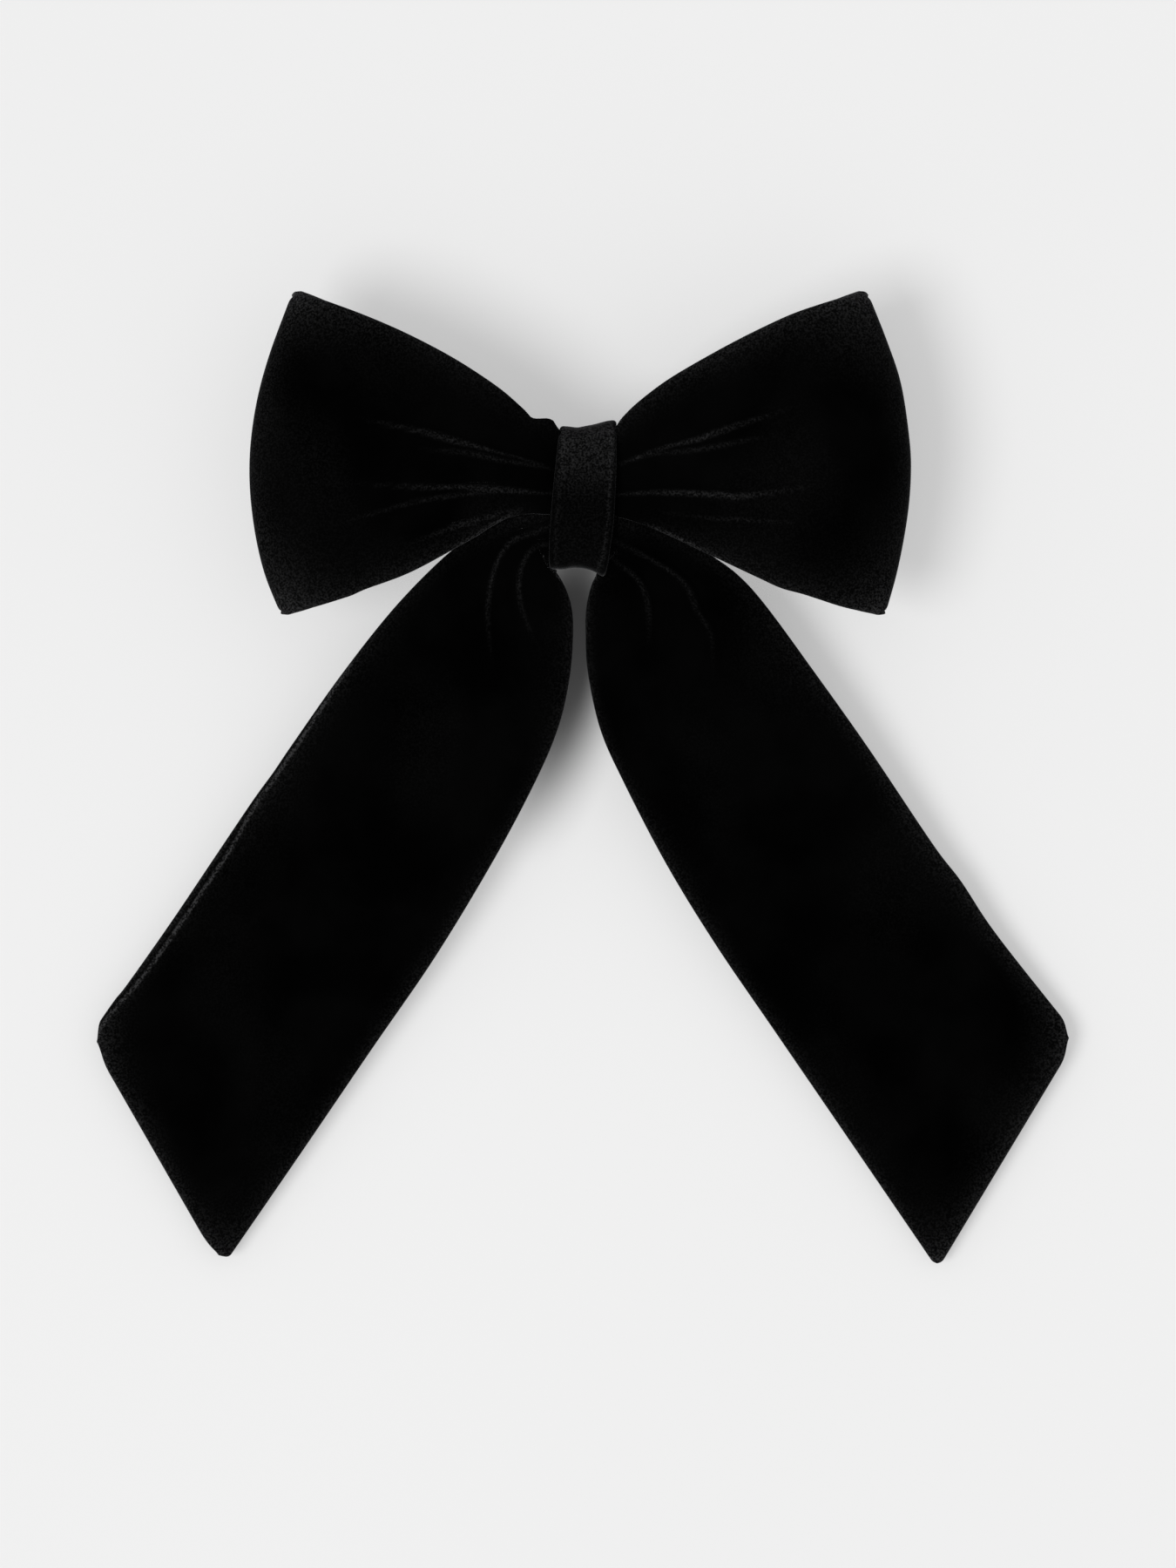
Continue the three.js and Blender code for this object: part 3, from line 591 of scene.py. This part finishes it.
def velvet_material():
    """Cut pile, nearly black straight on. A painted sheen, kept at each point, lightens its colour over edges
    and ridges, in fine specks.
    """
    material, shader, tree = material_with(
        "black_velvet",
        Roughness=1.0,
        Specular_IOR_Level=0.0,
        Sheen_Weight=0.08,
        Sheen_Roughness=0.3,
        Sheen_Tint=(0.96, 0.97, 1.0, 1),
    )
    lay = ramp(tree, noise(tree, 60, 3), PILE_DARK, PILE_LIGHT)
    # The painted sheen kept at each point, broken into fine specks, mixes the sheen colour into the pile's
    # own.
    painted_sheen_node = tree.nodes.new("ShaderNodeAttribute")
    painted_sheen_node.attribute_name = "painted_sheen"
    specks = ramp(tree, noise(tree, 2400, 3), (0.1, 0.1, 0.1), (1.6, 1.6, 1.6), (0.42, 0.68))
    share = tree.nodes.new("ShaderNodeMath")
    share.operation = "MULTIPLY"
    tree.links.new(painted_sheen_node.outputs["Fac"], share.inputs[0])
    tree.links.new(specks, share.inputs[1])
    colour = tree.nodes.new("ShaderNodeMix")
    colour.data_type = "RGBA"
    colour.inputs["B"].default_value = PAINTED_SHEEN_COLOUR
    tree.links.new(share.outputs["Value"], colour.inputs["Factor"])
    tree.links.new(lay, colour.inputs["A"])
    tree.links.new(colour.outputs["Result"], shader.inputs["Base Color"])
    lean = bump(tree, shader, noise(tree, 420, 3), 0.10, 0.5)
    bump(tree, shader, noise(tree, 2600, 4), 0.10, 0.9, lean)
    return material


def thread_material():
    material, shader, tree = material_with("black_thread", Roughness=0.6, Sheen_Weight=0.2)
    colour = ramp(tree, noise(tree, 900), (0.004, 0.004, 0.005), (0.012, 0.012, 0.013))
    tree.links.new(colour, shader.inputs["Base Color"])
    bump(tree, shader, noise(tree, 3000, 2, (1, 1, 0.3)), 0.06, 0.8)
    return material


def steel_material(name, low, high, roughness, stretch):
    """Bright plating over drawn strip: fine lines along the strip and a roughness that varies a little."""
    material, shader, tree = material_with(name, Metallic=1.0)
    colour = ramp(tree, noise(tree, 160, 3), low, high)
    tree.links.new(colour, shader.inputs["Base Color"])
    dull = tree.nodes.new("ShaderNodeMapRange")
    dull.inputs["To Min"].default_value = roughness * 0.75
    dull.inputs["To Max"].default_value = roughness * 1.3
    tree.links.new(noise(tree, 240, 4), dull.inputs["Value"])
    tree.links.new(dull.outputs["Result"], shader.inputs["Roughness"])
    bump(tree, shader, noise(tree, 2400, 2, stretch), 0.012, 0.5)
    return material


# ---- carried-over clip ----

METAL_WELD = 1e-6  # in metres
METAL_SHARP = 32  # degrees: edges sharper than this are broken
PLATED_EDGE, SPRUNG_EDGE = 0.12, 0.08  # width of the broken edges, in millimetres


def finish_metal(node, material, edge):
    """A CAD piece of the clip gets its plating, and its edges are broken as a tumbled stamping's are."""
    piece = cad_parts[node]
    piece.data.materials.clear()
    piece.data.materials.append(material)
    weld = piece.modifiers.new("weld", "WELD")
    weld.merge_threshold = METAL_WELD
    bevel = piece.modifiers.new("edges", "BEVEL")
    bevel.width = edge * MM
    bevel.segments = 2
    bevel.limit_method = "ANGLE"
    bevel.angle_limit = math.radians(METAL_SHARP)
    bevel.use_clamp_overlap = True


# ---- camera, light and stage ----

VIEW_HEIGHT = 0.324  # metres of the bow's plane that the picture shows from top to bottom
VIEW_CENTRE = (0.0009, -0.0598)  # (x, z) in metres
VIEW_PLANE_Y = -0.012  # where that plane of the bow lies
CAMERA_DISTANCE = 3.0
PAPER_DARK, PAPER_LIGHT = (0.322, 0.322, 0.322), (0.330, 0.330, 0.330)
WALL_GLOW, FLOOR_GLOW = 0.38, 0.55  # light that the paper gives off by itself, which softens shadows on it
STAGE_REACH, FLOOR_Z, WALL_GAP = 6000, -240, 0.3  # in millimetres
# The painted shade on the wall behind the knot, in millimetres, and how far it leans with the left tail, in
# degrees.
SHADE_CENTRE, SHADE_REACH, SHADE_LEAN = (-4, 0, -33), (16, 1000, 46), 9
SHADE_GLOW, SHADE_PAPER = 0.043, 0.5  # what is left of the glow and of the paper's colour in the painted shade
SHADE_FULL = 0.75  # how far in from the oval's edge the shade is full, where its centre is 1
SENSOR = 36  # the camera's, in millimetres
SUN_ENERGY, SUN_ANGLE = 2.33, 30  # the angle is how wide the window looks, in degrees
SKY_STRENGTH = 0.871
LIGHT_TRAVEL = (0.5, 0.84, 0.2)  # the way the light goes


def make_camera():
    data = bpy.data.cameras.new("camera")
    data.sensor_width = SENSOR
    data.lens = SENSOR * CAMERA_DISTANCE / VIEW_HEIGHT
    data.clip_start, data.clip_end = 0.05, 30
    camera = bpy.data.objects.new("camera", data)
    camera.location = (VIEW_CENTRE[0], VIEW_PLANE_Y - CAMERA_DISTANCE, VIEW_CENTRE[1])
    camera.rotation_euler = (math.radians(90), 0, 0)
    bpy.context.scene.collection.objects.link(camera)
    bpy.context.scene.camera = camera


def stage_material(name, glow, shade):
    """Pale paper that is seen from its front only, so that the clip shows from behind. Where shade is set, a
    painted shade darkens the paper's colour and glow in a soft oval behind the knot, where hardly any light
    reaches."""
    material, shader, tree = material_with(
        name, Roughness=0.9, Specular_IOR_Level=0.1, Emission_Strength=glow
    )
    colour = ramp(tree, noise(tree, 3, 2), PAPER_DARK, PAPER_LIGHT)
    tree.links.new(colour, shader.inputs["Base Color"])
    shader.inputs["Emission Color"].default_value = (1, 1, 1, 1)
    # Painted shade: a soft oval behind the knot where both the paper's colour and its glow are darker.
    if shade:
        place = tree.nodes.new("ShaderNodeTexCoord")
        oval = tree.nodes.new("ShaderNodeMapping")
        oval.vector_type = "TEXTURE"
        oval.inputs["Location"].default_value = [c * MM for c in SHADE_CENTRE]
        oval.inputs["Rotation"].default_value = (0, math.radians(SHADE_LEAN), 0)
        oval.inputs["Scale"].default_value = [r * MM for r in SHADE_REACH]
        depth = tree.nodes.new("ShaderNodeTexGradient")
        depth.gradient_type = "SPHERICAL"
        tree.links.new(place.outputs["Object"], oval.inputs["Vector"])
        tree.links.new(oval.outputs["Vector"], depth.inputs["Vector"])
        glow_left = ramp(tree, depth.outputs["Fac"], (1, 1, 1), (SHADE_GLOW,) * 3, (0, SHADE_FULL))
        paper_left = ramp(tree, depth.outputs["Fac"], (1, 1, 1), (SHADE_PAPER,) * 3, (0, SHADE_FULL))
        for left in (glow_left, paper_left):
            left.node.color_ramp.interpolation = "EASE"
        tree.links.new(glow_left, shader.inputs["Emission Color"])
        darker = tree.nodes.new("ShaderNodeMix")
        darker.data_type = "RGBA"
        darker.blend_type = "MULTIPLY"
        darker.inputs["Factor"].default_value = 1
        tree.links.new(colour, darker.inputs["A"])
        tree.links.new(paper_left, darker.inputs["B"])
        tree.links.new(darker.outputs["Result"], shader.inputs["Base Color"])
    side = tree.nodes.new("ShaderNodeNewGeometry")
    clear = tree.nodes.new("ShaderNodeBsdfTransparent")
    mix = tree.nodes.new("ShaderNodeMixShader")
    output = tree.nodes["Material Output"]
    tree.links.new(side.outputs["Backfacing"], mix.inputs["Fac"])
    tree.links.new(shader.outputs["BSDF"], mix.inputs[1])
    tree.links.new(clear.outputs["BSDF"], mix.inputs[2])
    tree.links.new(mix.outputs["Shader"], output.inputs["Surface"])
    return material


def make_stage(high):
    """A wall that the bow hangs on and a floor below it, which take shadows but throw no light back."""
    wall_y = high[1] / MM + WALL_GAP
    square = [(-STAGE_REACH, -STAGE_REACH), (STAGE_REACH, -STAGE_REACH), (STAGE_REACH, STAGE_REACH),
              (-STAGE_REACH, STAGE_REACH)]
    wall = mesh_object("stage_wall", [(a, wall_y, b) for a, b in square], [(0, 1, 2, 3)])
    floor = mesh_object("stage_floor", [(a, b, FLOOR_Z) for a, b in square], [(0, 1, 2, 3)])
    for surface, facing, glow in ((wall, (0, -1, 0), WALL_GLOW), (floor, (0, 0, 1), FLOOR_GLOW)):
        if sum(a * b for a, b in zip(surface.data.polygons[0].normal, facing)) < 0:
            surface.data.flip_normals()
        surface.data.materials.append(stage_material(surface.name + "_paper", glow, surface is wall))
        surface.visible_shadow = False
        surface.visible_diffuse = False
        surface.visible_glossy = False
        surface.visible_transmission = False


def make_light():
    world = bpy.data.worlds.new("studio")
    world.use_nodes = True
    world.node_tree.nodes["Background"].inputs["Color"].default_value = (1, 1, 1, 1)
    world.node_tree.nodes["Background"].inputs["Strength"].default_value = SKY_STRENGTH
    bpy.context.scene.world = world
    data = bpy.data.lights.new("window", "SUN")
    data.energy = SUN_ENERGY
    data.angle = math.radians(SUN_ANGLE)
    lamp = bpy.data.objects.new("window", data)
    lamp.rotation_mode = "QUATERNION"
    lamp.rotation_quaternion = Vector(LIGHT_TRAVEL).to_track_quat("-Z", "Y")
    bpy.context.scene.collection.objects.link(lamp)


# ---- the scene ----

bpy.context.scene.view_settings.view_transform = "Standard"
make_camera()
make_stage(cad_box[1])
make_light()

velvet = velvet_material()
thread = thread_material()
plated = steel_material("plated_steel", (0.60, 0.61, 0.63), (0.70, 0.71, 0.72), 0.24, (0.1, 1, 1))
sprung = steel_material("spring_steel", (0.46, 0.47, 0.49), (0.56, 0.57, 0.59), 0.32, (0.1, 1, 1))

loops = make_loops(velvet)
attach(loops, "bow")
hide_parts("loop_ribbon")

knot = make_knot(velvet)
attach(knot, "bow")
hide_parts("knot_band")

turns = make_gather_thread(thread)
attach(turns, "bow")
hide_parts("gather_thread")

for side, word in ((-1, "left"), (1, "right")):
    tail = make_tail(word + "_tail_velvet", side, velvet)
    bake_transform(tail)
    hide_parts(word + "_tail")

for node in ("clip_base_bar", "clip_hinge_pin", "clip_swing_arm", "clip_latch_rivet"):
    finish_metal(node, plated, PLATED_EDGE)
for node in ("clip_tension_spring", "clip_latch_base", "clip_latch_upper_wing", "clip_latch_lower_wing"):
    finish_metal(node, sprung, SPRUNG_EDGE)
